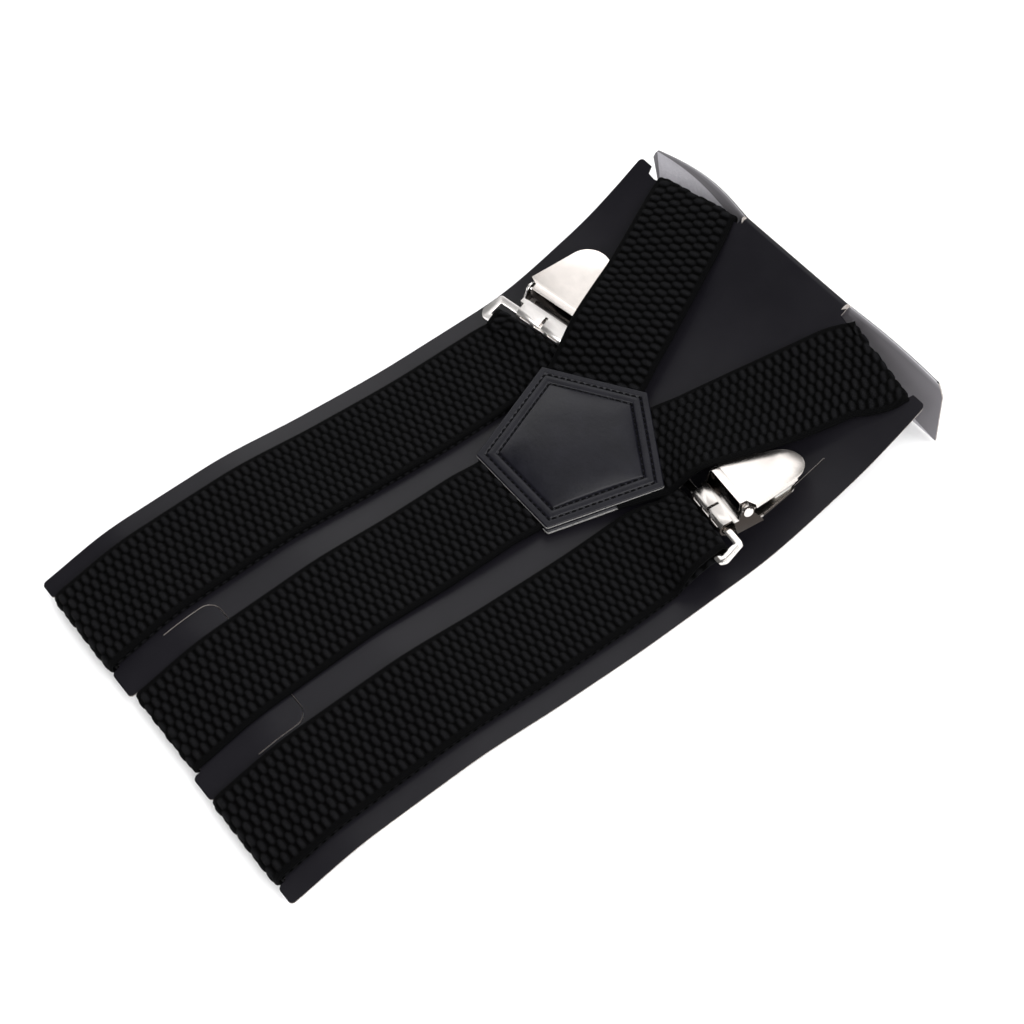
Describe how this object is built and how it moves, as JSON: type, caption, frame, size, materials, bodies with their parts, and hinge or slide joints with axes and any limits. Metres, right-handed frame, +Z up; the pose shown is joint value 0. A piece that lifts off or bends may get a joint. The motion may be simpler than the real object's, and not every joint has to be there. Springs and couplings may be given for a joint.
{
  "type": "clip-on suspenders",
  "caption": "Y-back clip-on suspenders in ribbed elastic webbing with a padded leather back patch and lever clips, wound flat round a folded display card.",
  "frame": {"origin": "Centre of the base of the bounding box; the resting surface is z = 0.", "axes": "+Y runs up the card from its free lower end to its fold, +X to the right seen from above, +Z up from the resting surface."},
  "size_m": [0.1448, 0.272, 0.0345],
  "materials": {
    "card": "black coated paperboard, satin, pale cut edges",
    "webbing": "black elastic webbing with a raised waffle rib and plain selvedges",
    "leather": "black smooth leather, semi-gloss, raw cut edges",
    "padding": "felt padding, hidden",
    "thread": "black sewing thread",
    "nickel": "polished nickel plate",
    "lever_nickel": "polished nickel plate, soft reflections",
    "grip": "pale grip insert with cross ribs"
  },
  "bodies": {
    "card_and_straps": {"display_card": "card", "left_front_strap": "webbing", "left_return_strap": "webbing", "left_return_end": "webbing", "left_back_strap": "webbing", "left_shoulder_strap": "webbing", "right_front_strap": "webbing", "right_return_strap": "webbing", "right_return_end": "webbing", "right_back_strap": "webbing", "right_shoulder_strap": "webbing", "rear_strap_front_run": "webbing", "rear_strap_back_run": "webbing", "patch_front_leather": "leather", "patch_padding": "padding", "patch_back_leather": "leather", "patch_stitching": "thread", "left_clip_ring": "nickel", "right_clip_ring": "nickel", "back_clip_ring": "nickel"},
    "left_clip": {"left_clip_body": "nickel", "left_clip_pin": "nickel", "left_clip_lower_pad": "grip"},
    "left_jaw": {"left_clip_jaw": "nickel", "left_clip_upper_pad": "grip"},
    "left_lever": {"left_clip_lever": "lever_nickel"},
    "right_clip": {"right_clip_body": "nickel", "right_clip_pin": "nickel", "right_clip_lower_pad": "grip"},
    "right_jaw": {"right_clip_jaw": "nickel", "right_clip_upper_pad": "grip"},
    "right_lever": {"right_clip_lever": "lever_nickel"},
    "back_clip": {"back_clip_body": "nickel", "back_clip_pin": "nickel", "back_clip_lower_pad": "grip"},
    "back_jaw": {"back_clip_jaw": "nickel", "back_clip_upper_pad": "grip"},
    "back_lever": {"back_clip_lever": "lever_nickel"},
    "left_adjuster": {"left_adjuster": "nickel", "left_adjuster_loop": "webbing"},
    "right_adjuster": {"right_adjuster": "nickel", "right_adjuster_loop": "webbing"}
  },
  "joints": [
    {"name": "left_clip_swivel", "type": "hinge", "parent": "card_and_straps", "child": "left_clip", "pos_m": [-0.04698, 0.0574, 0.00999], "axis": [0.9762, 0.2086, -0.0585], "range_deg": [0, 60], "deforming": ["left_shoulder_strap"]},
    {"name": "left_lever_hinge", "type": "hinge", "parent": "left_clip", "child": "left_lever", "pos_m": [-0.0482, 0.0647, 0.01548], "axis": [0.9762, 0.2086, -0.0585], "range_deg": [0, 110], "deforming": ["left_shoulder_strap"]},
    {"name": "left_jaw_hinge", "type": "hinge", "parent": "left_clip", "child": "left_jaw", "pos_m": [-0.04754, 0.06025, 0.01078], "axis": [0.9762, 0.2086, -0.0585], "range_deg": [0, 7]},
    {"name": "right_clip_swivel", "type": "hinge", "parent": "card_and_straps", "child": "right_clip", "pos_m": [0.05166, 0.04984, 0.014], "axis": [0.9238, -0.2297, 0.3063], "range_deg": [0, 60], "deforming": ["right_shoulder_strap"]},
    {"name": "right_lever_hinge", "type": "hinge", "parent": "right_clip", "child": "right_lever", "pos_m": [0.0519, 0.05754, 0.01904], "axis": [0.9238, -0.2297, 0.3063], "range_deg": [0, 110], "deforming": ["right_shoulder_strap"]},
    {"name": "right_jaw_hinge", "type": "hinge", "parent": "right_clip", "child": "right_jaw", "pos_m": [0.05216, 0.05273, 0.01467], "axis": [0.9238, -0.2297, 0.3063], "range_deg": [0, 7]},
    {"name": "back_clip_swivel", "type": "hinge", "parent": "card_and_straps", "child": "back_clip", "pos_m": [0, 0.09447, 0.00626], "axis": [1, 0, 0], "range_deg": [0, 20]},
    {"name": "back_lever_hinge", "type": "hinge", "parent": "back_clip", "child": "back_lever", "pos_m": [0, 0.10325, 0.00348], "axis": [-1, 0, 0], "range_deg": [0, 110]},
    {"name": "back_jaw_hinge", "type": "hinge", "parent": "back_clip", "child": "back_jaw", "pos_m": [0, 0.09748, 0.00646], "axis": [-1, 0, 0], "range_deg": [0, 7]},
    {"name": "left_adjuster_slide", "type": "slide", "parent": "card_and_straps", "child": "left_adjuster", "axis": [0, 1, 0], "range_m": [-0.01, 0.03], "deforming": ["left_return_end"]},
    {"name": "right_adjuster_slide", "type": "slide", "parent": "card_and_straps", "child": "right_adjuster", "axis": [0, 1, 0], "range_m": [-0.01, 0.03], "deforming": ["right_return_end"]}
  ],
  "couplings": [
    {"joint": "left_jaw_hinge", "follows": "left_lever_hinge", "ratio": 0.063635},
    {"joint": "right_jaw_hinge", "follows": "right_lever_hinge", "ratio": 0.063635},
    {"joint": "back_jaw_hinge", "follows": "back_lever_hinge", "ratio": 0.063635}
  ]
}
